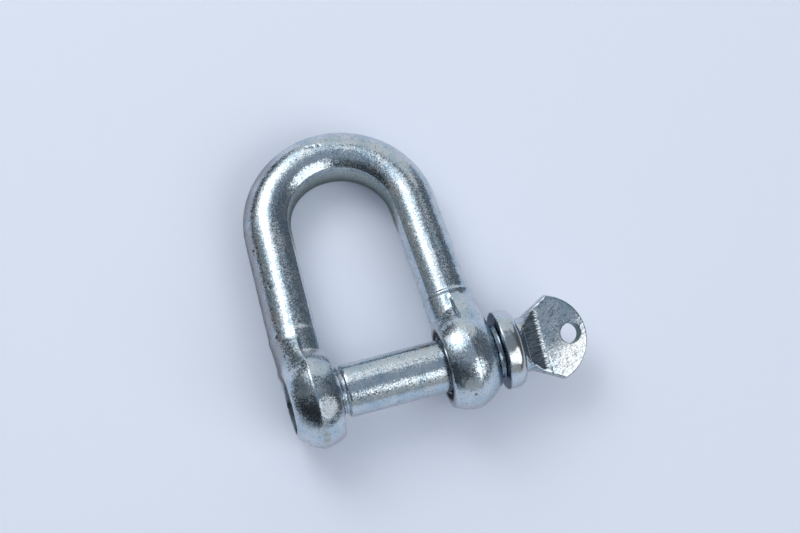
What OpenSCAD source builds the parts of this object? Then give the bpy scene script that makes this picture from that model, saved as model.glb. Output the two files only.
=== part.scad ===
// Screw pin dee shackle, lying at rest: the pin runs along X, the crown lies towards +Y, and the
// origin is the middle of the pin between the eyes.

/* [Bow] */
// Diameter of the bar that the bow is bent from
bar_d = 16; // [13:0.5:19]
// Clear width of the jaw, between the inner faces of the eyes
jaw_w = 34.2; // [28:0.2:44]
// From the pin's axis to the inside of the crown
inside_l = 69.8; // [60:0.2:100]
// Lean of each leg, outwards from the crown to its eye, in degrees
leg_splay = 2.2; // [0.5:0.1:3]
// Depth of the flat that the bending former leaves along the inner side of the bar
flat_h = 0.8; // [0.3:0.1:1.2]
// Radius of that flat, across the bar
flat_r = 12; // [10.5:0.5:20]

/* [Eyes] */
// Diameter of an eye at its crest
eye_d = 31; // [28.5:0.1:36]
// Thickness of the plain eye, along the pin
eye_t = 16.2; // [15:0.2:20]
// Thickness of the tapped eye
tapped_t = 14.5; // [13.5:0.1:20]
// Diameter of the flat inner face of an eye
eye_face_d = 26.4; // [25:0.2:28.4]
// Diameter of the flat outer face of an eye
eye_seat_d = 20.4; // [20:0.2:24]
// From the pin's axis to the forged ring where a neck begins
neck_l = 21; // [18:0.1:26]
// Height of that ring over the bar
neck_step = 0.3; // [0.1:0.05:0.6]
// Length of the ring that stands clear of the swelling outer half of the neck
neck_land = 1.6; // [0.5:0.1:2.5]

/* [Bores] */
// Radial clearance of the pin's shank in the plain eye
bore_clear = 0.7; // [0.4:0.05:1.2]
// Radial clearance of the thread in the tapped eye, at half its depth
thread_clear = 0.08; // [0.05:0.01:0.1]
// Chamfer at both ends of each bore
bore_chamfer = 0.7; // [0.3:0.1:1]

/* [Pin] */
// Diameter of the pin's shank
pin_d = 16.4; // [14.6:0.2:17]
// Diameter of the threaded end, at half the depth of its thread
thread_d = 14.4; // [12:0.1:14.5]
// From the tapped eye's inner face to the shoulder of the shank
shoulder_gap = 2.7; // [1:0.1:5]
// Chamfer of that shoulder
shoulder_chamfer = 0.5; // [0.2:0.1:1]
// How deep the pin's tip lies inside the tapped eye
tip_recess = 1.6; // [0.5:0.1:4]
// Chamfer of the tip
tip_chamfer = 1.2; // [0.5:0.1:2]
// Gap between the collar and the plain eye, with the pin screwed in by hand
seat_gap = 1.8; // [0.2:0.1:2.5]
// Diameter of the collar
collar_d = 24.4; // [22:0.2:28]
// Thickness of the collar
collar_t = 6.1; // [5:0.1:9]
// Radius of the collar's rounded outer edge
collar_r = 3; // [1:0.1:4]

/* [Tab] */
// Diameter of the round root, between the collar and the tab
root_d = 17; // [14:0.2:18]
// Length of that root
root_l = 2.8; // [1:0.1:4]
// From the collar's outer face to the end of the tab
tab_l = 21.8; // [19:0.1:26]
// Width of the tab across its corners
tab_w = 26.8; // [22:0.2:30]
// From the tab's corners to its rounded end
tab_rise = 10.1; // [7:0.1:11]
// Thickness of the flattened tab
tab_t = 6.6; // [4:0.1:8]
// From the collar's outer face to where the flats begin
flat_start = 8.3; // [6:0.1:10]
// Radius of the ramps that run up from the flats to the root
ramp_r = 9; // [6:0.1:12]
// From the collar's outer face to the hole in the tab
hole_x = 16.5; // [14:0.1:17.5]
// Diameter of that hole
hole_d = 6.4; // [4:0.1:7]
// Turn of the tab about the pin, from lying level, in degrees
tab_turn = 14; // [0:1:90]

/* [Hidden] */
$fn = 96;
steel = [0.66, 0.69, 0.72];

// Reach of a cut past the surface that it leaves
over = 1;
// Segments round each shape that a neck is blended from
neck_fn = 32;
// Depth of those shapes under the true surface of the eye
neck_inset = 0.25;
// Thickness of the slice of bar that a neck is blended from
slice_t = 0.5;

bar_r = bar_d / 2;
eye_r = eye_d / 2;
pin_r = pin_d / 2;
thread_r = thread_d / 2;
tab_h = tab_t / 2;

// The legs' centre lines cross the pin's axis as far out as the middle of the plain eye, and the
// crown is an arc that is tangent to both
leg_x = (jaw_w + eye_t) / 2;
crown_top = inside_l + bar_r - flat_h;
crown_r = (leg_x * cos(leg_splay) - crown_top * sin(leg_splay)) / (1 - sin(leg_splay));
crown_y = crown_top - crown_r;

// Each leg ends at the foot of its forged ring, and the inner half of the neck runs on from there
// into the eye
neck_top = neck_l - neck_land;
neck_foot = eye_seat_d / 2;
leg_l = (crown_y + crown_r * sin(leg_splay)) / cos(leg_splay) - neck_top;

// At rest the crown and both eyes touch the ground
rest_tilt = asin((eye_r - bar_r) / crown_top);

// Places along the pin
plain_face = jaw_w / 2;
plain_seat = plain_face + eye_t;
tip_x = -plain_face - tapped_t + tip_recess;
shoulder_x = -plain_face + shoulder_gap;
collar_in = plain_seat + seat_gap;
collar_out = collar_in + collar_t;
root_x = collar_out + root_l;
tab_end = collar_out + tab_l;
corner_x = tab_end - tab_rise;
flats_x = collar_out + flat_start;

// Points of the half section of an eye of thickness t, with its crest halfway along: distance from
// the pin's axis, and from the inner face
face = [eye_face_d / 2, 0];
function crest(t) = [eye_r, t / 2];
function seat(t) = [eye_seat_d / 2, t];

// Turns a shape made along Z to run along the pin
module along_pin() {
    rotate([0, 90, 0]) children();
}

// Sets a shape made along Z on the plain eye's leg, with its foot on the pin's axis and the bar's
// inner side towards -X
module along_leg() {
    translate([leg_x, 0, 0]) rotate([0, 0, leg_splay]) rotate([-90, 0, 0]) children();
}

// Section of the bar, with its flattened inner side towards -X, grown all round by the step
module bar_section(step = 0) {
    intersection() {
        circle(bar_r + step);
        translate([flat_h - bar_r + flat_r, 0]) circle(flat_r + step);
    }
}

// The plain side's half of the bent bar: the crown's arc from its top, and the leg down to its ring
module half_bar() {
    intersection() {
        translate([0, crown_y, 0])
            rotate([0, 0, leg_splay]) {
                rotate_extrude(angle = 90) translate([crown_r, 0]) bar_section();
                translate([crown_r, 0, 0]) rotate([90, 0, 0]) linear_extrude(leg_l) bar_section();
            }
        translate([0, 0, -bar_d]) cube([2 * leg_x, 2 * crown_top, 2 * bar_d]);
    }
}

// Circle with its centre on the axis of a half section, through p and q, drawn in by the inset
module axis_circle(p, q, inset = 0) {
    centre = [0, (q * q - p * p) / (2 * (q[1] - p[1]))];
    translate(centre) circle(norm(p - centre) - inset);
}

// Half section of an eye of thickness t, with the inner face at 0: a ball's rim up to the crest, and
// the dome of a larger ball beyond it
module eye_section(t) {
    intersection() {
        square([eye_d, t]);
        axis_circle(face, crest(t));
        axis_circle(crest(t), seat(t));
    }
}

// Half section of the dome, just under its true surface
module dome_section(t) {
    intersection() {
        translate([0, t / 2]) square([eye_d, t / 2 - neck_inset]);
        axis_circle(crest(t), seat(t), neck_inset);
    }
}

// Section of the inner half of a neck
module inner_section() {
    intersection() {
        bar_section(neck_step);
        translate([-bar_d, -bar_d]) square([bar_d + over, 2 * bar_d]);
    }
}

// Outer half of a neck: the dome of the eye drawn out to the bar
module neck(t) {
    hull() {
        translate([plain_face, 0, 0]) along_pin() rotate_extrude($fn = neck_fn) dome_section(t);
        along_leg()
            translate([0, 0, neck_top])
            intersection() {
                cylinder(r = bar_r, h = slice_t, $fn = neck_fn);
                translate([0, -bar_d, -over]) cube([bar_d, 2 * bar_d, slice_t + 2 * over]);
            }
    }
}

// One side of the bow, with an eye of thickness t, made on the plain side and before boring: half of
// the bar, its ring, the neck and the eye
module side(t) {
    half_bar();
    along_leg() {
        translate([0, 0, neck_top]) linear_extrude(neck_land) bar_section(neck_step);
        translate([0, 0, neck_foot]) linear_extrude(neck_top + slice_t - neck_foot) inner_section();
    }
    translate([plain_face, 0, 0]) along_pin() rotate_extrude() eye_section(t);
    neck(t);
}

// Bore through an eye of thickness t on the plain side, with a chamfer at both ends
module bore(r, t) {
    translate([plain_face, 0, 0]) along_pin() {
        translate([0, 0, -over]) cylinder(r = r, h = t + 2 * over);
        translate([0, 0, -over]) cylinder(r1 = r + bore_chamfer + over, r2 = r, h = bore_chamfer + over);
        translate([0, 0, t - bore_chamfer])
            cylinder(r1 = r, r2 = r + bore_chamfer + over, h = bore_chamfer + over);
    }
}

module bow() {
    color(steel)
        difference() {
            rotate([-rest_tilt, 0, 0]) {
                side(eye_t);
                mirror([1, 0, 0]) side(tapped_t);
            }
            bore(pin_r + bore_clear, eye_t);
            mirror([1, 0, 0]) bore(thread_r + thread_clear, tapped_t);
        }
}

// Half section of the collar, with its outer corner rounded
module collar_section() {
    edge_r = collar_d / 2 - collar_r;
    translate([0, collar_in]) square([edge_r, collar_t]);
    translate([0, collar_in]) square([collar_d / 2, collar_t - collar_r]);
    translate([edge_r, collar_out - collar_r]) circle(collar_r);
}

// Half section of the turned blank: thread, shank, collar, root and the swelling that is flattened
module blank_section() {
    polygon([
        [0, tip_x],
        [thread_r - tip_chamfer, tip_x],
        [thread_r, tip_x + tip_chamfer],
        [thread_r, shoulder_x],
        [pin_r - shoulder_chamfer, shoulder_x],
        [pin_r, shoulder_x + shoulder_chamfer],
        [pin_r, collar_in],
        [root_d / 2, collar_out - collar_r],
        [root_d / 2, root_x],
        [tab_w / 2, corner_x],
        [0, corner_x],
    ]);
    collar_section();
    intersection() {
        translate([0, corner_x]) square([tab_w / 2, tab_rise]);
        axis_circle([tab_w / 2, corner_x], [0, tab_end]);
    }
}

// What is pressed away over one face of the tab: level over the flat, with a ramp towards the root
module flat_cut() {
    reach = tab_w + over;
    rotate([90, 0, 0])
        linear_extrude(2 * reach, center = true)
        intersection() {
            translate([collar_out, tab_h]) square([tab_l + over, reach]);
            union() {
                translate([flats_x, tab_h]) square([tab_l + over, reach]);
                translate([flats_x, tab_h + ramp_r]) circle(ramp_r);
                translate([flats_x - ramp_r, tab_h + ramp_r]) square([2 * ramp_r, reach]);
            }
        }
}

module pin() {
    color(steel)
        rotate([tab_turn, 0, 0])
        difference() {
            along_pin() rotate_extrude() blank_section();
            flat_cut();
            mirror([0, 0, 1]) flat_cut();
            translate([collar_out + hole_x, 0, 0])
                cylinder(d = hole_d, h = tab_t + 2 * over, center = true);
        }
}

bow();
pin();
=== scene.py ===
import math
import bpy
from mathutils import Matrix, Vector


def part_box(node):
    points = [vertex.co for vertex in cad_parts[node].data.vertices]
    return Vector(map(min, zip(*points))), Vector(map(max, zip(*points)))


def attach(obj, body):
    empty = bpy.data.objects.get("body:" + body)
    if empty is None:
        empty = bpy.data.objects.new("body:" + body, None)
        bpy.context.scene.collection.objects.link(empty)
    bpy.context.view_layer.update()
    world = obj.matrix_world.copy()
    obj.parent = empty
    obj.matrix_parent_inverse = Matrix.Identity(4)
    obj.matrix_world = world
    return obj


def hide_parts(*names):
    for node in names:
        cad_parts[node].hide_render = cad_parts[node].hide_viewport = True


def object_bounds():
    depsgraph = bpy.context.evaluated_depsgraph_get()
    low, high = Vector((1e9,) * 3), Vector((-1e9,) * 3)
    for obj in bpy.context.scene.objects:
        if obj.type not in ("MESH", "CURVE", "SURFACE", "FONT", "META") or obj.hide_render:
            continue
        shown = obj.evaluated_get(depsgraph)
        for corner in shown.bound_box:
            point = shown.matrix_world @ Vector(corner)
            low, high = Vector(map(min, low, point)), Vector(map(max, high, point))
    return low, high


bl_info = {
    "name": "Screw Pin Dee Shackle",
    "version": (1, 0, 0),
    "blender": (4, 5, 0),
    "location": "3D View > Sidebar > Shackle",
    "description": "Forged and zinc-plated finish for a screw pin dee shackle, on a pale table",
    "category": "Object",
}

from contextlib import contextmanager

import bmesh
import bpy
from mathutils import Matrix, Vector, noise

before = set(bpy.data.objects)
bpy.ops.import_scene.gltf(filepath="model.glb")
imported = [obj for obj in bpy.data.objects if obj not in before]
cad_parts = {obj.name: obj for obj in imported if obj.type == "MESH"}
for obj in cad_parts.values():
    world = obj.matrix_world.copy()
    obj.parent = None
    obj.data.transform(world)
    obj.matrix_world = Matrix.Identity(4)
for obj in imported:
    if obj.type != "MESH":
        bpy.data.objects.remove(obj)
cad_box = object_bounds()

MM = 0.001
PIN_AXIS = Vector((1, 0, 0))
ROUND_STEPS = 96
SHARP_ANGLE = math.radians(38)
# Distance within which points of a mesh become one
MERGE = 0.002 * MM
# Reach of a cutter past the surface that it leaves
PAST = 2 * MM


def length(name, description, default):
    """A size, with its default in millimetres."""
    return bpy.props.FloatProperty(
        name=name, description=description, default=default * MM, unit="LENGTH"
    )


def angle(name, description, default):
    """A turn, with its default in degrees."""
    return bpy.props.FloatProperty(
        name=name, description=description, default=math.radians(default), subtype="ANGLE"
    )


def share(name, description, default):
    """A plain number, such as a rise for each unit along."""
    return bpy.props.FloatProperty(name=name, description=description, default=default)


def passes(name, description, default):
    """A number of repeats."""
    return bpy.props.IntProperty(name=name, description=description, default=default, min=0)


def colour(name, description, default):
    """A colour, with its default in linear red, green and blue."""
    return bpy.props.FloatVectorProperty(
        name=name, description=description, default=default, subtype="COLOR", min=0
    )


class BowSettings(bpy.types.PropertyGroup):
    """Sizes of the forged bow."""

    jaw: length("Jaw", "Clear width between the eyes", 34.2)
    plain_eye: length("Plain eye", "Thickness of the plain eye", 16.2)
    tapped_eye: length("Tapped eye", "Thickness of the tapped eye", 14.5)
    tilt: angle("Tilt", "Lean of the bow at rest", 5.59)
    splay: angle("Splay", "Lean of each leg outwards", 2.2)
    bar_radius: length("Bar radius", "Radius of the bar", 8)
    crown_top: length("Crown top", "From the pin to the bar's centre line at the crown", 77)
    bore_radius: length("Bore radius", "Radius of the plain bore", 8.9)
    bore_edge: length("Bore edge", "Chamfer of the plain bore", 0.7)
    mouth_radius: length("Mouth radius", "Radius of the tapped bore's outer mouth", 9.2)
    skin: length("Skin", "Edge length of the forged skin", 0.42)
    softness: passes("Softness", "Passes that round the forged edges", 3)
    waviness: length("Waviness", "Depth of the uneven forged surface", 0.1)
    crest_rise: length("Crest rise", "Height of the parting line", 0.2)
    flat_turn: angle("Flat turn", "From the inner side of the bar to its flat's edge", 42.17)
    flat_edge: length("Flat edge", "Height of the flat's raised edge", 0.13)
    ring_at: length("Ring place", "From the pin to the forged ring", 20.8)
    ring_rise: length("Ring rise", "Height of the forged ring", 0.22)
    ring_half: length("Ring half width", "Half width of the forged ring", 0.8)
    ring_ease: passes("Ring ease", "Passes that smooth the tapped side's ring", 14)


class PinSettings(bpy.types.PropertyGroup):
    """Sizes of the screw pin."""

    pitch: length("Pitch", "Advance of the thread in one turn", 2)
    thread_root: length("Thread root", "Radius at the thread's root", 6.65)
    thread_crest: length("Thread crest", "Radius at the thread's crest", 7.85)
    thread_play: length("Thread play", "Radial play in the tapped eye", 0.15)
    shoulder_at: length("Shoulder", "Place of the shank's shoulder", -14.4)
    collar_at: length("Collar", "Place of the collar's inner face", 35.1)
    root_at: length("Root end", "Place where the tab spreads from its root", 44)
    root_radius: length("Root radius", "Radius of the tab's round root", 8.5)
    spread: share("Spread", "Growth of the tab's half width along the pin", 0.5506)
    flats_at: length("Flats", "Place where the packed flats begin", 49.5)
    ramp_radius: length("Ramp radius", "Radius of the packed ramps", 9)
    foot_at: length("Foot", "Place of the ramp's foot", 49.1)
    foot_radius: length("Foot radius", "Radius of the ramp's foot", 5)
    ramp_slope: angle("Ramp slope", "Slope of the ramp", 30)
    fall: share("Fall", "Slope of the flat's fallen corner", 0.06)
    fall_turn: angle("Fall turn", "Direction of that fall, from the pin's axis", 59.3)
    fall_bend: length("Fall bend", "Half width of the bend where that fall begins", 3)
    tab_turn: angle("Tab turn", "Turn of the tab about the pin", 14)
    tab_thick: length("Tab thickness", "Thickness of the flattened tab", 6.6)
    hole_at: length("Hole place", "Place of the hole in the tab", 57.7)
    hole_radius: length("Hole radius", "Radius of the hole in the tab", 3.2)
    hole_edge: length("Hole edge", "Chamfer of the hole in the tab", 0.3)
    skin: length("Skin", "Edge length of the pin's skin", 0.26)
    softness: passes("Softness", "Passes that round the pin's edges", 4)


class FinishSettings(bpy.types.PropertyGroup):
    """Colours and grain of the zinc plating."""

    zinc: colour("Zinc", "Bright zinc", (0.585, 0.655, 0.705))
    blue: colour("Blue", "Blue passivated zinc", (0.455, 0.57, 0.65))
    warm: colour("Warm", "Yellowed zinc", (0.56, 0.53, 0.47))
    pit: colour("Pit", "Dark specks in the plating", (0.12, 0.13, 0.14))
    limb: colour("Limb", "Tint of the plating where it turns away", (1, 0.9, 0.88))
    gloss: share("Gloss", "Roughness of the brightest crystals", 0.14)
    grain: length("Grain", "Width of the zinc's crystals", 0.3)
    grain_tilt: share("Grain tilt", "Slope of most crystals", 0.022)
    grain_glint: share("Grain glint", "Slope of the steepest crystals", 0.065)
    peel: length("Peel", "Depth of the plating's soft unevenness", 0.03)


class StageSettings(bpy.types.PropertyGroup):
    """The table, the room and the camera."""

    table: colour("Table", "Pale table", (0.775, 0.835, 0.945))
    glow: colour("Glow", "Light that fills the table's shadows", (0.148, 0.161, 0.19))
    # Width of the painted contact shadow, where the table's glow fades
    contact: length("Contact", "Width of the dark beside what stands on the table", 16)
    room: colour("Room", "Dim room above the table", (0.86, 1.0, 1.2))
    lens: length("Lens", "Focal length", 90)
    sensor: length("Sensor", "Width of the camera's sensor", 36)


# Pits in the forging: place, radius and depth in millimetres
PITS = (
    ((-29.6, 50.3, 0.0), 0.9, 0.25),
    ((-29.8, 48.9, 0.2), 0.7, 0.2),
    ((-28.1, 36.9, 3.2), 0.9, 0.25),
    ((-28.4, 38.4, 2.8), 0.7, 0.2),
    ((-5.0, 79.4, -0.1), 0.7, 0.25),
    ((-3.8, 79.2, 0.0), 0.6, 0.2),
    ((-2.8, 79.1, 0.1), 0.8, 0.25),
    ((-0.9, 78.9, 0.2), 0.8, 0.25),
    ((-6.8, 83.1, -4.2), 0.8, 0.2),
    ((3.8, 83.3, -3.6), 0.8, 0.2),
    ((23.0, -13.0, 8.2), 0.9, 0.25),
)

# The forged surface: size of its waves, and share of the fine ones
BROAD_WAVE = 11 * MM
FINE_WAVE = 3.4 * MM
FINE_SHARE = 0.12

# Parting line on the necks: half width of its ridge and reach of the hollows beside it, place from
# the pin where it is strongest, how far from there it falls to its least share, and that share
NECK_CREST = (0.8 * MM, 3 * MM)
NECK_MIDDLE = 15 * MM
NECK_REACH = 7 * MM
NECK_LEAST = 0.3

# Parting line on the legs: the same two widths, how far from the pin it is gone, its share, and how
# far over and under the middle of the bar it begins
LEG_CREST = (0.6 * MM, 2 * MM)
LEG_REACH = 60 * MM
LEG_SHARE = 0.4
LEG_BAND = 5 * MM

# How far from the pin the tapped eye ends and its neck begins
EYE_TOP = 16 * MM

# Half width of the raised edge of the bar's flat
FLAT_EDGE_HALF = 0.55 * MM

# The tapped side's ring: its height beside the plain side's, and the stretch that is eased
TAPPED_RING = 0.35
EASE_BELOW = 3.3 * MM
EASE_ABOVE = 2.2 * MM

# Facets forged between each neck and its eye, in millimetres: side of the bow, far end and near end
# from the pin, and radius at the near end
NECK_FACETS = ((1, 15.6, 11.6, 10.1), (-1, 13.4, 10.4, 11.2))

# Colours of stains and marks, and of painted shade
# Painted shade: the table's shadow as the bow's outer side reflects it
LIMB_SHADE = (0.38, 0.375, 0.39)
# Painted shade that dims the front lamp's highlight on the tapped eye
EYE_SHADE = (0.20, 0.22, 0.24)
PALE = (0.62, 0.60, 0.57)
# Greenish dull zinc, darkened further as painted shade
GREEN_AND_SHADE = (0.29, 0.32, 0.30)
BROWN = (0.42, 0.36, 0.27)
# Dark of pits and press marks, also used as painted shade in the bores
DARK = (0.06, 0.065, 0.07)
# Painted shade, dark blue
SHADE = (0.20, 0.26, 0.32)
# Painted shade on the wall of the tab's hole
HOLE_SHADE = (0.20, 0.26, 0.26)

# Stains in the plating, and patches of painted shade: place, radius of the full tint and radius where it
# ends, in millimetres, share of the tint and its colour
BOW_STAINS_AND_SHADE = (
    # Greenish dull zinc on the crown's inner side, partly painted shade where it reflects the table's
    # shadow
    ((0, 53.6, -5.2), 16.6, 18.6, 0.85, GREEN_AND_SHADE),
    # Painted shade in the mouth of the tapped bore
    ((-31.6, 0, 0), 8.6, 9.2, 0.85, DARK),
    # Painted shade over the front lamp's highlight on the tapped eye
    ((-20.5, -6, 13), 2.8, 6, 0.85, EYE_SHADE),
    # Painted shade: darkens the reflection on the tapped eye's outer dome
    ((-27, 1.5, 14.8), 1.5, 4.5, 0.7, SHADE),
    # Painted shade over the front lamp's highlight on the tapped eye
    ((-27.8, -8, 12), 2.5, 5, 0.6, EYE_SHADE),
    # Painted shade along the outer side of the tapped leg and the crown, where they reflect the table's
    # shadow
    ((-34.5, 15, 0), 7, 10, 0.8, LIMB_SHADE),
    ((-34, 28, -2), 6, 9, 0.8, LIMB_SHADE),
    ((-34.5, 40, -3), 6.5, 9.5, 0.8, LIMB_SHADE),
    ((-33.5, 52, -4), 6.5, 9.5, 0.8, LIMB_SHADE),
    ((-30, 66, -6), 6, 10, 0.75, LIMB_SHADE),
    ((-22, 77, -7), 6, 10, 0.6, LIMB_SHADE),
    ((-23.9, -13.2, 8.0), 0.5, 1.6, 0.6, BROWN),
    ((-23.8, -14.6, 5.5), 0.5, 1.8, 0.6, BROWN),
)
# The dark of the pits
PIT_STAINS = tuple((place, 0.35 * wide, 0.8 * wide, 0.8, DARK) for place, wide, _ in PITS)
PIN_STAINS_AND_SHADE = (
    ((60, -9, 1), 7, 12, 0.6, PALE),
    # Painted shade inside the tab's hole
    ((57.7, 0, 0), 4.35, 4.7, 0.75, HOLE_SHADE),
    ((12.7, 5.6, 6.0), 0.3, 1.8, 0.6, BROWN),
    ((39, -2, 12), 1.5, 5, 0.5, BROWN),
    ((39, -8, 9), 1.5, 4, 0.35, BROWN),
)

# Directions of the fine scratches on the tab's flats
SCRATCHES = ((0.8, 0.6, 0), (0.5, -0.85, 0.2))

# Lamps: shape, azimuth and height of the direction to each, its width and height as seen from the
# shackle, its distance in metres, and how many times it is brighter than white
LAMPS = {
    "lamp_back": ("RECTANGLE", 113, 46.5, 23, 26, 1.3, 3.0),
    "lamp_back_screen": ("RECTANGLE", 113, 46, 44, 50, 1.5, 0.9),
    "lamp_front": ("ELLIPSE", -50, 40, 46, 48, 2.4, 1.5),
    "pale_wall": ("RECTANGLE", 68, 17, 54, 62, 3.0, 0.6),
    "dim_wall": ("RECTANGLE", 156, 38, 36, 52, 3.0, 0.24),
    "front_wall": ("RECTANGLE", -92, 14, 46, 30, 3.0, 0.32),
}

# Half width of the table in metres, and the camera's place and directions
TABLE_REACH = 8
CAMERA_AT = Vector((-79.9, -130.84, 591.7)) * MM
CAMERA_RIGHT = Vector((0.9587, -0.27458, 0.07417))
CAMERA_UP = Vector((0.24185, 0.92424, 0.29546))


def link_piece(name, bm):
    """Makes an object of a bmesh, at the origin."""
    mesh = bpy.data.meshes.new(name)
    bm.to_mesh(mesh)
    bm.free()
    piece = bpy.data.objects.new(name, mesh)
    bpy.context.scene.collection.objects.link(piece)
    return piece


@contextmanager
def editing(piece):
    """The piece's mesh as a bmesh, which is written back at the end."""
    bm = bmesh.new()
    bm.from_mesh(piece.data)
    yield bm
    bm.to_mesh(piece.data)
    bm.free()


def node_copy(node):
    """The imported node's triangles, merged into one shell."""
    bm = bmesh.new()
    bm.from_mesh(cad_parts[node].data)
    bmesh.ops.remove_doubles(bm, verts=bm.verts, dist=MERGE)
    return bm


def apply_steps(piece):
    """Makes the piece's modifiers part of its mesh."""
    graph = bpy.context.evaluated_depsgraph_get()
    shaped = bpy.data.meshes.new_from_object(piece.evaluated_get(graph))
    shaped.name = piece.name
    old = piece.data
    piece.modifiers.clear()
    piece.data = shaped
    bpy.data.meshes.remove(old)


def soften(bm, verts, times):
    """Evens out the mesh round some of its points."""
    for _ in range(times):
        bmesh.ops.smooth_vert(
            bm, verts=verts, factor=0.5, use_axis_x=True, use_axis_y=True, use_axis_z=True
        )


def grow_skin(piece, settings):
    """Gives the piece one even skin and rounds its edges."""
    step = piece.modifiers.new("skin", "REMESH")
    step.mode = "VOXEL"
    step.voxel_size = settings.skin
    step.adaptivity = 0
    step.use_smooth_shade = True
    apply_steps(piece)
    with editing(piece) as bm:
        soften(bm, bm.verts, settings.softness)


def combine(piece, tool, how):
    """Cuts the piece with a tool, joins it to one or keeps what they share."""
    step = piece.modifiers.new("step", "BOOLEAN")
    step.operation = how
    step.solver = "MANIFOLD"
    step.object = tool
    apply_steps(piece)
    mesh = tool.data
    bpy.data.objects.remove(tool)
    bpy.data.meshes.remove(mesh)
    if not piece.data.polygons:
        raise RuntimeError(f"{piece.name} was lost in a cut")


def cone(bm, start_radius, end_radius, depth, matrix):
    """Adds a cone or a cylinder, which runs along Z before the matrix sets it in place."""
    bmesh.ops.create_cone(
        bm,
        cap_ends=True,
        segments=ROUND_STEPS,
        radius1=start_radius,
        radius2=end_radius,
        depth=depth,
        matrix=matrix,
    )


def cone_tool(name, *sizes):
    """A cone or a cylinder as a cutter."""
    bm = bmesh.new()
    cone(bm, *sizes)
    return link_piece(name, bm)


def outline(bm, points):
    """Adds (place, radius) points over the pin's axis and the edges that join them."""
    verts = [bm.verts.new((place, 0, radius)) for place, radius in points]
    return verts + [bm.edges.new(pair) for pair in zip(verts, verts[1:])]


def lathe(name, points):
    """A solid turned about the pin's axis from points that start and end on it."""
    bm = bmesh.new()
    bmesh.ops.spin(
        bm,
        geom=outline(bm, points),
        cent=(0, 0, 0),
        axis=PIN_AXIS,
        angle=math.tau,
        steps=ROUND_STEPS,
        use_merge=True,
    )
    bmesh.ops.remove_doubles(bm, verts=bm.verts, dist=MERGE)
    bmesh.ops.recalc_face_normals(bm, faces=bm.faces)
    return link_piece(name, bm)


def cut_across(bm, place, side):
    """Cuts a bmesh across the pin's axis, drops the given side and closes the end."""
    bmesh.ops.bisect_plane(
        bm,
        geom=bm.verts[:] + bm.edges[:] + bm.faces[:],
        dist=MERGE / 4,
        plane_co=PIN_AXIS * place,
        plane_no=PIN_AXIS * side,
        clear_outer=True,
    )
    rim = [
        edge
        for edge in bm.edges
        if edge.is_boundary and all(abs(vert.co.x - place) < 0.01 * MM for vert in edge.verts)
    ]
    bmesh.ops.edgeloop_fill(bm, edges=rim)


def thread_rod(name, start, end, root, crest, pitch):
    """A threaded rod between two places on the pin's axis. Rods of one pitch run in step."""
    anchor = math.floor(start / pitch - 1.5) * pitch
    turns = math.ceil((end - anchor) / pitch) + 1
    profile = ((0, root), (0.14, root), (0.5, crest), (0.64, crest), (1, root))
    bm = bmesh.new()
    bmesh.ops.spin(
        bm,
        geom=outline(bm, [(anchor + share * pitch, radius) for share, radius in profile]),
        cent=(0, 0, 0),
        axis=PIN_AXIS,
        dvec=PIN_AXIS * pitch / ROUND_STEPS,
        angle=math.tau * turns,
        steps=ROUND_STEPS * turns,
    )
    bmesh.ops.remove_doubles(bm, verts=bm.verts, dist=MERGE)
    cut_across(bm, start, -1)
    cut_across(bm, end, 1)
    bmesh.ops.recalc_face_normals(bm, faces=bm.faces)
    return link_piece(name, bm)


def finish_piece(piece, body, node, material):
    """Shades the piece, and sets it in its node's place."""
    with editing(piece) as bm:
        for face in bm.faces:
            face.smooth = True
        for edge in bm.edges:
            edge.smooth = len(edge.link_faces) != 2 or edge.calc_face_angle() < SHARP_ANGLE
    piece.data.materials.clear()
    piece.data.materials.append(material)
    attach(piece, body)
    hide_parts(node)


def limit(value):
    """The value, kept between 0 and 1."""
    return min(1, max(0, value))


def fade(distance, reach):
    """1 at no distance, falling smoothly to 0 at the reach."""
    share = limit(1 - abs(distance) / reach)
    return share * share * (3 - 2 * share)


def ridge(distance, half, reach):
    """0 on a ridge and past its reach, and -1 in the hollows beside it."""
    return -(1 - fade(distance, half)) * fade(distance, reach)


def leg_at(settings):
    """Place on the pin's axis of each leg's centre line."""
    return (settings.jaw + settings.plain_eye) / 2


def eye_faces(settings):
    """Places on the pin's axis of both eyes' faces, from the tapped eye's outer one on."""
    face = settings.jaw / 2
    return -face - settings.tapped_eye, -face, face, face + settings.plain_eye


def bow_place(settings, point):
    """A point's place on the bow: from the middle outwards, along the legs, and across them."""
    lean = settings.tilt
    along = point.y * math.cos(lean) - point.z * math.sin(lean)
    across = point.y * math.sin(lean) + point.z * math.cos(lean)
    return abs(point.x), along, across


def bar_side(settings, out, along):
    """How far a place lies outside the bent bar's centre line: an arc, with a leg on each side."""
    lean = math.sin(settings.splay)
    leg = leg_at(settings)
    radius = (leg * math.cos(settings.splay) - settings.crown_top * lean) / (1 - lean)
    centre = settings.crown_top - radius
    if along > centre + radius * lean:
        return math.hypot(out, along - centre) - radius
    return out - leg + along * math.tan(settings.splay)


def wave_height(settings, point):
    """Height of the uneven surface that forging leaves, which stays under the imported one."""
    broad = noise.noise(point / BROAD_WAVE)
    fine = noise.noise(point / FINE_WAVE)
    return -settings.waviness * (0.75 - 0.5 * (broad + FINE_SHARE * fine))


def ring_height(settings, tapped, along):
    """Height of the forged ring at the top of each neck, which is lower on the tapped side."""
    rise = settings.ring_rise * (TAPPED_RING if tapped else 1)
    return rise * fade(along - settings.ring_at, settings.ring_half)


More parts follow.
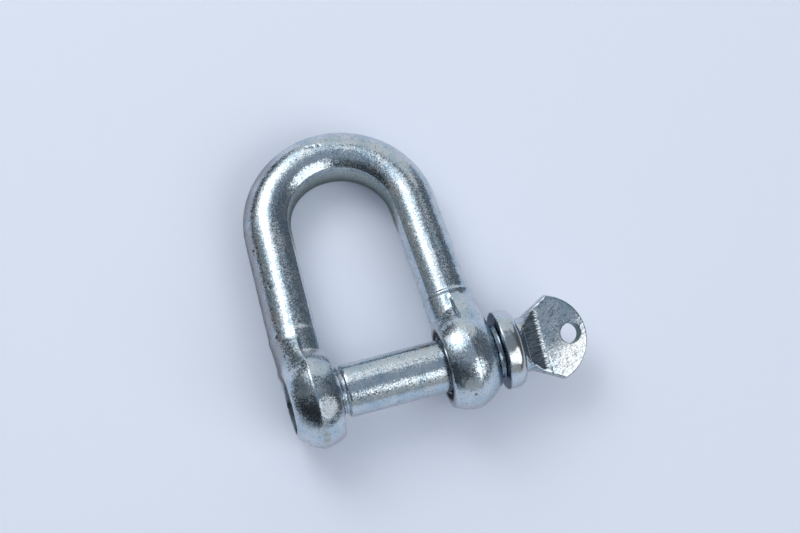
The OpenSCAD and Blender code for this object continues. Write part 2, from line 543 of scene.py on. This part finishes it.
def crest_height(settings, tapped, out, along, across):
    """Height of the parting line, which is strong on the necks and faint on the legs."""
    side = bar_side(settings, out, along)
    if along < settings.ring_at:
        if tapped and along < EYE_TOP:
            side = out - (settings.jaw + settings.tapped_eye) / 2
        strength = NECK_LEAST + (1 - NECK_LEAST) * fade(along - NECK_MIDDLE, NECK_REACH)
        return strength * settings.crest_rise * ridge(side, *NECK_CREST)
    if abs(across) > LEG_BAND:
        strength = LEG_SHARE * fade(along, LEG_REACH)
        return strength * settings.crest_rise * ridge(side, *LEG_CREST)
    return 0


def flat_height(settings, out, along, across):
    """Height of the raised edges of the flat along the inner side of the bar."""
    side = bar_side(settings, out, along)
    if along < settings.ring_at or side > 0:
        return 0
    turn = math.atan2(abs(across), -side) - settings.flat_turn
    return settings.flat_edge * fade(turn * settings.bar_radius, FLAT_EDGE_HALF)


def pit_height(point):
    """Height of the surface in the pits."""
    return -sum(
        deep * MM * fade((point - Vector(place) * MM).length, wide * MM) for place, wide, deep in PITS
    )


def forged_height(settings, point):
    """Height of the forged surface over the plain one, at a point."""
    out, along, across = bow_place(settings, point)
    tapped = point.x < 0
    return (
        wave_height(settings, point)
        + ring_height(settings, tapped, along)
        + crest_height(settings, tapped, out, along, across)
        + flat_height(settings, out, along, across)
        + pit_height(point)
    )


def forge(piece, settings):
    """Moves the skin to the uneven surface of a forging."""
    with editing(piece) as bm:
        bm.normal_update()
        for vert in bm.verts:
            vert.co += vert.normal * forged_height(settings, vert.co)


def ease_ring(piece, settings):
    """Smooths the tapped side's ring into its leg."""
    low = settings.ring_at - EASE_BELOW
    high = settings.ring_at + EASE_ABOVE
    with editing(piece) as bm:
        near = [v for v in bm.verts if v.co.x < 0 and low < bow_place(settings, v.co)[1] < high]
        soften(bm, near, settings.ring_ease)


def bow_plugs(bm, settings):
    """Fills both bores, to be cut again through the finished skin."""
    outer, inner, plain_inner, plain_outer = eye_faces(settings)
    radius = settings.bore_radius + settings.bore_edge + 0.2 * MM
    for start, end in ((outer, inner), (plain_inner, plain_outer)):
        place = Matrix.Translation(((start + end) / 2, 0, 0)) @ Matrix.Rotation(math.pi / 2, 4, "Y")
        cone(bm, radius, radius, end - start, place)


def neck_facets(bm, settings):
    """Fills the corners between each neck and its eye with a forged facet, above and below."""
    lean = Matrix.Rotation(-settings.tilt, 4, "X")
    slim = Matrix.Diagonal((0.72, 1, 1, 1))
    along_leg = Matrix.Rotation(math.pi / 2, 4, "X")
    top_radius = settings.bar_radius + 0.25 * MM
    for side, top, foot, wide in NECK_FACETS:
        leg = Matrix.Translation((side * leg_at(settings), 0, 0))
        leg = lean @ leg @ Matrix.Rotation(side * settings.splay, 4, "Z")
        middle = Matrix.Translation((0, (top + foot) / 2 * MM, 0))
        cone(bm, top_radius, wide * MM, (top - foot) * MM, leg @ middle @ slim @ along_leg)


def plain_bore_tool(settings):
    """Cutter for the plain bore, with a chamfer at both ends."""
    _, _, inner, outer = eye_faces(settings)
    bore = settings.bore_radius
    edge = settings.bore_edge
    return lathe(
        "plain_bore_tool",
        (
            (inner - PAST, 0),
            (inner - PAST, bore + edge + PAST),
            (inner + edge, bore),
            (outer - edge, bore),
            (outer + PAST, bore + edge + PAST),
            (outer + PAST, 0),
        ),
    )


def mouth_tool(bow, pin):
    """Cutter for the chamfers of the tapped bore."""
    outer, inner, _, _ = eye_faces(bow)
    root = pin.thread_root + pin.thread_play
    mouth = pin.thread_crest + pin.thread_play + 0.3 * MM
    under = root - 0.2 * MM
    return lathe(
        "mouth_tool",
        (
            (outer - PAST, 0),
            (outer - PAST, bow.mouth_radius + PAST),
            (outer + bow.mouth_radius - root, under),
            (inner - mouth + root, under),
            (inner + PAST, mouth + PAST),
            (inner + PAST, 0),
        ),
    )


def tap_tool(bow, pin):
    """Cutter for the tapped thread."""
    outer, inner, _, _ = eye_faces(bow)
    root = pin.thread_root + pin.thread_play
    crest = pin.thread_crest + pin.thread_play
    return thread_rod("tap", outer - 1.5 * PAST, inner + 1.5 * PAST, root, crest, pin.pitch)


class SHACKLE_OT_bow(bpy.types.Operator):
    """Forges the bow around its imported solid, with its bores and tapped thread"""

    bl_idname = "shackle.bow"
    bl_label = "Forge Bow"

    def execute(self, context):
        settings = context.scene.shackle_bow
        pin = context.scene.shackle_pin
        bm = node_copy("bow")
        bow_plugs(bm, settings)
        neck_facets(bm, settings)
        piece = link_piece("forged_bow", bm)
        grow_skin(piece, settings)
        ease_ring(piece, settings)
        forge(piece, settings)
        combine(piece, plain_bore_tool(settings), "DIFFERENCE")
        combine(piece, mouth_tool(settings, pin), "DIFFERENCE")
        combine(piece, tap_tool(settings, pin), "DIFFERENCE")
        finish_piece(piece, "bow", "bow", bow_zinc(context.scene))
        return {"FINISHED"}


def hole_place(settings, high=0):
    """Place of the hole in the tab, at a height over the tab's middle."""
    turn = Matrix.Rotation(settings.tab_turn, 4, "X")
    return turn @ Matrix.Translation((settings.hole_at, 0, high))


def pin_blank(settings):
    """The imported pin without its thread, with the hole in its tab filled."""
    bm = node_copy("pin")
    cut_across(bm, settings.shoulder_at + 10 * MERGE, -1)
    plug = settings.hole_radius + 0.5 * MM
    cone(bm, plug, plug, settings.tab_thick, hole_place(settings))
    return link_piece("screw_pin", bm)


def ramp_height(centre, rise, radius, x):
    """Height over the tab's middle of a ramp of one radius that meets the flat under its centre."""
    return rise + radius - math.sqrt(max(0, radius**2 - max(0, centre - x) ** 2))


def packed_height(settings, x):
    """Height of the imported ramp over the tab's middle."""
    return ramp_height(settings.flats_at, settings.tab_thick / 2, settings.ramp_radius, x)


def straight_rise(settings, x):
    """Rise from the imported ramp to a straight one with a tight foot."""
    foot = (settings.foot_at, settings.tab_thick / 2, settings.foot_radius)
    bend = settings.foot_at - settings.foot_radius * math.sin(settings.ramp_slope)
    if x > bend:
        return ramp_height(*foot, x) - packed_height(settings, x)
    high = ramp_height(*foot, bend) + (bend - x) * math.tan(settings.ramp_slope)
    return max(0, high - packed_height(settings, x))


def corner_fall(settings, x, across):
    """Fall of a flat towards its corner, across a line through the hole that it bends over."""
    bend = settings.fall_bend
    away = (x - settings.hole_at) * math.cos(settings.fall_turn) - across * math.sin(settings.fall_turn)
    if away < -bend:
        return 0
    if away > bend:
        return settings.fall * away
    return settings.fall * (away + bend) ** 2 / (4 * bend)


def press_tab(piece, settings):
    """Straightens the tab's ramps, and lets each flat fall away towards one corner."""
    turn = Matrix.Rotation(settings.tab_turn, 4, "X")
    back = turn.inverted()
    start = settings.root_at - 2 * MM
    # How deep under a ramp the press begins to act, and over what depth it comes to act in full
    under = 0.8 * MM
    bite = 0.5 * MM
    # Half thickness of the tab's middle, which keeps its place
    core = 1.5 * MM
    with editing(piece) as bm:
        for vert in bm.verts:
            x, y, z = back @ vert.co
            if x < start:
                continue
            side = math.copysign(1, z)
            high = abs(z)
            if x < settings.flats_at:
                share = limit((high - packed_height(settings, x) + under) / bite)
                high += share * straight_rise(settings, x)
                widest = settings.root_radius + max(0, x - settings.root_at) * settings.spread
                if share and math.hypot(y, high) > widest:
                    y = math.copysign(math.sqrt(max(0, widest**2 - high**2)), y)
            else:
                high -= limit(high / core - 1) * corner_fall(settings, x, side * y)
            vert.co = turn @ Vector((x, y, side * high))


def drill_tab(piece, settings):
    """Drills the hole in the tab, and chamfers it on both faces."""
    radius = settings.hole_radius
    depth = settings.tab_thick + 2 * PAST
    combine(piece, cone_tool("drill", radius, radius, depth, hole_place(settings)), "DIFFERENCE")
    middle = radius + settings.hole_edge
    for face in (-1, 1):
        place = hole_place(settings, face * settings.tab_thick / 2)
        place = place @ Matrix.Rotation(0 if face > 0 else math.pi, 4, "X")
        sink = cone_tool("sink", middle - PAST / 2, middle + PAST / 2, PAST, place)
        combine(piece, sink, "DIFFERENCE")


def pin_thread(settings):
    """The threaded end, with a tapered tip and a relief under the shoulder."""
    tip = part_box("pin")[0].x
    shoulder = settings.shoulder_at
    root = settings.thread_root
    crest = settings.thread_crest
    over = crest + 0.1 * MM
    taper = 1.6 * MM
    relief = 0.6 * MM
    inside = shoulder + 1.5 * MM
    rod = thread_rod("thread", tip - 1.5 * PAST, shoulder + 1.5 * PAST, root, crest, settings.pitch)
    envelope = lathe(
        "thread_envelope",
        (
            (tip, 0),
            (tip, root - 0.5 * MM),
            (tip + taper, over),
            (shoulder - 1.5 * relief, over),
            (shoulder - relief, root),
            (inside, root),
            (inside, 0),
        ),
    )
    combine(rod, envelope, "INTERSECT")
    return rod


class SHACKLE_OT_pin(bpy.types.Operator):
    """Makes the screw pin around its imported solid, with its thread and drilled tab"""

    bl_idname = "shackle.pin"
    bl_label = "Make Pin"

    def execute(self, context):
        settings = context.scene.shackle_pin
        piece = pin_blank(settings)
        grow_skin(piece, settings)
        press_tab(piece, settings)
        drill_tab(piece, settings)
        combine(piece, pin_thread(settings), "UNION")
        finish_piece(piece, "pin", "pin", pin_zinc(context.scene))
        return {"FINISHED"}


class Nodes:
    """Adds nodes to a tree. Each of their values is another node's output, or a constant."""

    def __init__(self, tree):
        self.tree = tree

    def feed(self, socket, value):
        """Joins an output to a socket, or sets the socket to a constant."""
        if isinstance(value, bpy.types.NodeSocket):
            self.tree.links.new(value, socket)
        else:
            socket.default_value = value

    def add(self, kind, values=None, **options):
        """Adds a node, with its options and the values of its inputs, by name or by number."""
        node = self.tree.nodes.new(kind)
        for option, choice in options.items():
            setattr(node, option, choice)
        for key, value in (values or {}).items():
            self.feed(node.inputs[key], value)
        return node

    def number(self, operation, *values, clamp=False):
        """A step of arithmetic on numbers."""
        node = self.add("ShaderNodeMath", dict(enumerate(values)), operation=operation, use_clamp=clamp)
        return node.outputs["Value"]

    def vector(self, operation, *values):
        """A step of arithmetic on vectors."""
        node = self.add("ShaderNodeVectorMath", dict(enumerate(values)), operation=operation)
        return node.outputs["Value" if operation in ("DISTANCE", "LENGTH") else "Vector"]

    def axes(self, value):
        """The three parts of a vector."""
        return self.add("ShaderNodeSeparateXYZ", {"Vector": value}).outputs

    def ramp(self, value, low, high, to_low=0, to_high=1):
        """A value that runs from one number to another while the given one does so."""
        limits = {"From Min": low, "From Max": high, "To Min": to_low, "To Max": to_high}
        return self.add("ShaderNodeMapRange", {"Value": value, **limits}).outputs["Result"]

    def band(self, value, start, full, last, end, share=1):
        """A share that rises from the start, is full up to the last place, and is gone at the end."""
        rise = self.ramp(value, start, full)
        return self.number("MULTIPLY", rise, self.ramp(value, last, end, share, 0))

    def blend(self, share, first, second):
        """A share of the second colour over the first."""
        values = {"Factor": share}
        for key, value in (("A", first), ("B", second)):
            values[key] = value if isinstance(value, bpy.types.NodeSocket) else (*value, 1)
        return self.add("ShaderNodeMix", values, data_type="RGBA").outputs["Result"]


class Zinc(Nodes):
    """Blue-white zinc over blasted steel: tints, specks, stains and painted shade, and a grain of fine
    crystals.
    """

    def __init__(self, name, colours, stains_and_shade):
        self.material = bpy.data.materials.new(name)
        self.material.use_nodes = True
        super().__init__(self.material.node_tree)
        self.colours = colours
        self.place = self.add("ShaderNodeTexCoord").outputs["Object"]
        self.along = self.axes(self.place)["X"]
        self.height = self.cloud(1.6 * MM, 2)
        self.calm = None
        self.limb = colours.limb
        blue_patches = self.ramp(self.cloud(5 * MM, 3), 0.42, 0.62)
        warm_patches = self.ramp(self.cloud(8 * MM, 4, 0.6), 0.62, 0.76, 0, 0.55)
        specks = self.ramp(self.cloud(0.8 * MM, 1), 0.64, 0.74, 0, 0.6)
        self.tint = self.blend(blue_patches, colours.zinc, colours.blue)
        self.mark(warm_patches, colours.warm)
        self.mark(specks, colours.pit)
        for spot, near, far, share, colour_there in stains_and_shade:
            away = self.vector("DISTANCE", self.place, Vector(spot) * MM)
            self.stain_and_shade(self.ramp(away, near * MM, far * MM, share, 0), colour_there)

    def cloud(self, size, detail, rough=0.5):
        """Noise of one size."""
        values = {"Vector": self.place, "Scale": 1 / size, "Detail": detail, "Roughness": rough}
        return self.add("ShaderNodeTexNoise", values).outputs["Fac"]

    def strokes(self, width, *directions):
        """Noise drawn out along some directions."""
        shrink = (-0.88,) * 3
        drawn = self.place
        for direction in directions:
            part = self.vector("PROJECT", drawn, direction)
            drawn = self.vector("MULTIPLY_ADD", part, shrink, drawn)
        values = {"Vector": drawn, "Scale": 1 / width, "Detail": 1}
        return self.add("ShaderNodeTexNoise", values).outputs["Fac"]

    def mark(self, share, colour_there):
        """Tints the plating as it is seen face on."""
        self.tint = self.blend(share, self.tint, colour_there)

    def stain_and_shade(self, share, colour_there):
        """Tints the plating face on and where it turns away, for stains and for painted shade."""
        self.mark(share, colour_there)
        self.limb = self.blend(share, self.limb, colour_there)

    def rise(self, mask, height, strength):
        """Adds to the plating's soft unevenness."""
        self.height = self.number(
            "MULTIPLY_ADD", self.number("MULTIPLY", mask, height), strength, self.height
        )

    def coat(self):
        """Grows the crystals, each with its own lean and gloss, and gives the finished material."""
        values = {"Vector": self.place, "Scale": 1 / self.colours.grain}
        draw = self.add("ShaderNodeTexVoronoi", values).outputs["Color"]
        lean = self.vector("MULTIPLY_ADD", draw, (2, 2, 2), (-1, -1, -1))
        dull = self.axes(draw)["Y"]
        dull = self.number("MULTIPLY", dull, dull)
        dull_patches = self.ramp(self.cloud(3 * MM, 3, 0.6), 0.3, 0.7, 0.18, 0.34)
        dull = self.number("MULTIPLY", dull, dull_patches)
        if self.calm:
            dull = self.number("MULTIPLY", dull, self.calm)
            lean = self.vector("MULTIPLY", lean, self.calm)
        bump = {"Height": self.height, "Distance": self.colours.peel, "Strength": 1}
        normal = self.add("ShaderNodeBump", bump).outputs["Normal"]
        steep = self.vector("MULTIPLY", self.vector("MULTIPLY", lean, lean), lean)
        normal = self.vector("MULTIPLY_ADD", lean, (self.colours.grain_tilt,) * 3, normal)
        normal = self.vector("MULTIPLY_ADD", steep, (self.colours.grain_glint,) * 3, normal)
        shader = self.tree.nodes["Principled BSDF"].inputs
        shader["Metallic"].default_value = 1
        self.feed(shader["Base Color"], self.tint)
        self.feed(shader["Specular Tint"], self.limb)
        self.feed(shader["Roughness"], self.number("ADD", dull, self.colours.gloss))
        self.feed(shader["Normal"], self.vector("NORMALIZE", normal))
        return self.material


def bow_zinc(scene):
    """The bow's plating, with a ring of painted shade round the pin on the plain eye's inner face."""
    zinc = Zinc("bow_zinc", scene.shackle_finish, BOW_STAINS_AND_SHADE + PIT_STAINS)
    face = scene.shackle_bow.jaw / 2
    # Painted shade on the plain eye's inner face, round the bore
    jaw = zinc.band(
        zinc.along, face - 0.8 * MM, face - 0.3 * MM, face + 0.3 * MM, face + 0.7 * MM, 0.85
    )
    away = zinc.vector("LENGTH", zinc.vector("MULTIPLY", zinc.place, (0, 1, 1)))
    zinc.stain_and_shade(zinc.number("MULTIPLY", jaw, zinc.ramp(away, 10.4 * MM, 11.9 * MM, 1, 0)), DARK)
    return zinc.coat()


def shade_gap(zinc, pin):
    """Paints shade on the shank behind the collar and on the collar's inner face, and calms the grain
    beyond.
    """
    face = pin.collar_at
    # Painted shade in the gap between the eye and the collar
    shank = zinc.band(
        zinc.along, face - 2.5 * MM, face - 2.1 * MM, face - 0.2 * MM, face - 0.1 * MM, 0.85
    )
    zinc.stain_and_shade(shank, SHADE)
    seat = zinc.band(
        zinc.along, face - 0.2 * MM, face - 0.1 * MM, face + 0.3 * MM, face + 0.4 * MM, 0.6
    )
    zinc.stain_and_shade(seat, SHADE)
    zinc.calm = zinc.ramp(zinc.along, face - 2.1 * MM, face + 0.9 * MM, 0.8, 0.4)


def mark_tab(zinc, pin):
    """Draws the lines that pressing leaves on the tab's ramps, and scratches its flats."""
    root = pin.root_at
    foot = pin.foot_at
    flats = zinc.ramp(zinc.along, foot - 1.1 * MM, foot - 0.7 * MM)
    zinc.rise(flats, zinc.cloud(0.9 * MM, 3, 0.6), 0.8)
    ramps = zinc.band(zinc.along, root - 2 * MM, root - 0.5 * MM, foot - 0.9 * MM, foot - 0.5 * MM)
    press_way = (0, -math.sin(pin.tab_turn), math.cos(pin.tab_turn))
    lines = zinc.strokes(0.42 * MM, PIN_AXIS, press_way)
    zinc.rise(ramps, lines, 2)
    zinc.mark(zinc.number("MULTIPLY", ramps, zinc.ramp(lines, 0.46, 0.56, 0, 0.5)), DARK)
    zinc.mark(zinc.number("MULTIPLY", ramps, zinc.ramp(lines, 0.40, 0.34, 0, 0.7)), PALE)
    for direction in SCRATCHES:
        scratch = zinc.ramp(zinc.strokes(0.5 * MM, direction), 0.60, 0.68, 0, 0.55)
        zinc.mark(zinc.number("MULTIPLY", flats, scratch), zinc.colours.pit)


def pin_zinc(scene):
    """The pin's plating."""
    zinc = Zinc("pin_zinc", scene.shackle_finish, PIN_STAINS_AND_SHADE)
    shade_gap(zinc, scene.shackle_pin)
    mark_tab(zinc, scene.shackle_pin)
    return zinc.coat()


def table_finish(settings):
    """Pale matt table, a little brighter to the eye and in reflections, so that its shadows stay soft;
    that glow fades close beside the shackle, a painted contact shadow.
    """
    material = bpy.data.materials.new("table")
    material.use_nodes = True
    nodes = Nodes(material.node_tree)
    shader = nodes.tree.nodes["Principled BSDF"].inputs
    shader["Base Color"].default_value = (*settings.table, 1)
    shader["Roughness"].default_value = 0.6
    shader["Specular IOR Level"].default_value = 0.2
    shader["Emission Color"].default_value = (*settings.glow, 1)
    path = nodes.add("ShaderNodeLightPath").outputs
    seen = nodes.number("ADD", path["Is Camera Ray"], path["Is Glossy Ray"], clamp=True)
    seen = nodes.number("ADD", seen, path["Is Transmission Ray"], clamp=True)
    # The glow fades where the shackle stands close by: a painted contact shadow
    open_sky = nodes.add("ShaderNodeAmbientOcclusion", {"Distance": settings.contact}, samples=4)
    nodes.feed(shader["Emission Strength"], nodes.number("MULTIPLY", seen, open_sky.outputs["AO"]))
    return material


def dim_room(settings):
    """A dim room, a little paler overhead and towards the tab's side."""
    world = bpy.data.worlds.new("room")
    world.use_nodes = True
    nodes = Nodes(world.node_tree)
    direction = nodes.axes(nodes.add("ShaderNodeTexCoord").outputs["Generated"])
    tab_side = nodes.ramp(direction["X"], -1, 1, 0.03, 0.14)
    overhead = nodes.ramp(direction["Z"], 0.75, 1, 0, 0.28)
    light = nodes.tree.nodes["Background"].inputs
    light["Color"].default_value = (*settings.room, 1)
    nodes.feed(light["Strength"], nodes.number("ADD", tab_side, overhead))
    return world


def set_table(settings):
    """Lays the table under the shackle."""
    bm = bmesh.new()
    ground = Matrix.Translation((0, 0, cad_box[0].z))
    bmesh.ops.create_grid(bm, x_segments=2, y_segments=2, size=TABLE_REACH, matrix=ground)
    table = link_piece("table", bm)
    table.data.materials.append(table_finish(settings))


def toward(azimuth, height):
    """Unit vector to a direction given in degrees."""
    a = math.radians(azimuth)
    h = math.radians(height)
    return Vector((math.cos(h) * math.cos(a), math.cos(h) * math.sin(a), math.sin(h)))


def hang_lamps(scene):
    """Hangs the lamps and the lit walls, all facing the shackle."""
    for name, (shape, azimuth, height, wide, high, far, bright) in LAMPS.items():
        direction = toward(azimuth, height)
        data = bpy.data.lights.new(name, "AREA")
        data.shape = shape
        data.size = 2 * far * math.tan(math.radians(wide / 2))
        data.size_y = 2 * far * math.tan(math.radians(high / 2))
        data.energy = bright * math.pi * data.size * data.size_y
        lamp = bpy.data.objects.new(name, data)
        lamp.location = direction * far
        lamp.rotation_euler = direction.to_track_quat("Z", "Y").to_euler()
        scene.collection.objects.link(lamp)


def set_camera(scene, settings):
    """Sets the camera at the photograph's place."""
    data = bpy.data.cameras.new("camera")
    data.lens = settings.lens / MM
    data.sensor_width = settings.sensor / MM
    data.sensor_fit = "HORIZONTAL"
    data.clip_start = 10 * MM
    camera = bpy.data.objects.new("camera", data)
    turn = Matrix((CAMERA_RIGHT, CAMERA_UP, CAMERA_RIGHT.cross(CAMERA_UP))).transposed().to_4x4()
    camera.matrix_world = Matrix.Translation(CAMERA_AT) @ turn
    scene.collection.objects.link(camera)
    scene.camera = camera


class SHACKLE_OT_stage(bpy.types.Operator):
    """Sets the table, the lamps and the camera"""

    bl_idname = "shackle.stage"
    bl_label = "Set Stage"

    def execute(self, context):
        scene = context.scene
        settings = scene.shackle_stage
        scene.view_settings.view_transform = "Standard"
        scene.world = dim_room(settings)
        set_table(settings)
        hang_lamps(scene)
        set_camera(scene, settings)
        return {"FINISHED"}


class SHACKLE_PT_panel(bpy.types.Panel):
    """Lists the shackle's pieces and their settings"""

    bl_idname = "SHACKLE_PT_panel"
    bl_label = "Shackle"
    bl_space_type = "VIEW_3D"
    bl_region_type = "UI"
    bl_category = "Shackle"

    def draw(self, context):
        layout = self.layout
        for operator in OPERATORS:
            layout.operator(operator.bl_idname)
        for group in GROUPS:
            settings = getattr(context.scene, group)
            for name in settings.bl_rna.properties.keys():
                if name not in ("rna_type", "name"):
                    layout.prop(settings, name)


GROUPS = {
    "shackle_bow": BowSettings,
    "shackle_pin": PinSettings,
    "shackle_finish": FinishSettings,
    "shackle_stage": StageSettings,
}
OPERATORS = (SHACKLE_OT_stage, SHACKLE_OT_bow, SHACKLE_OT_pin)


def register():
    for group, settings in GROUPS.items():
        bpy.utils.register_class(settings)
        setattr(bpy.types.Scene, group, bpy.props.PointerProperty(type=settings))
    for item in (*OPERATORS, SHACKLE_PT_panel):
        bpy.utils.register_class(item)


def unregister():
    for item in (SHACKLE_PT_panel, *reversed(OPERATORS)):
        bpy.utils.unregister_class(item)
    for group, settings in GROUPS.items():
        delattr(bpy.types.Scene, group)
        bpy.utils.unregister_class(settings)


def main():
    register()
    bpy.ops.shackle.stage()
    bpy.ops.shackle.bow()
    bpy.ops.shackle.pin()


if __name__ == "__main__":
    main()
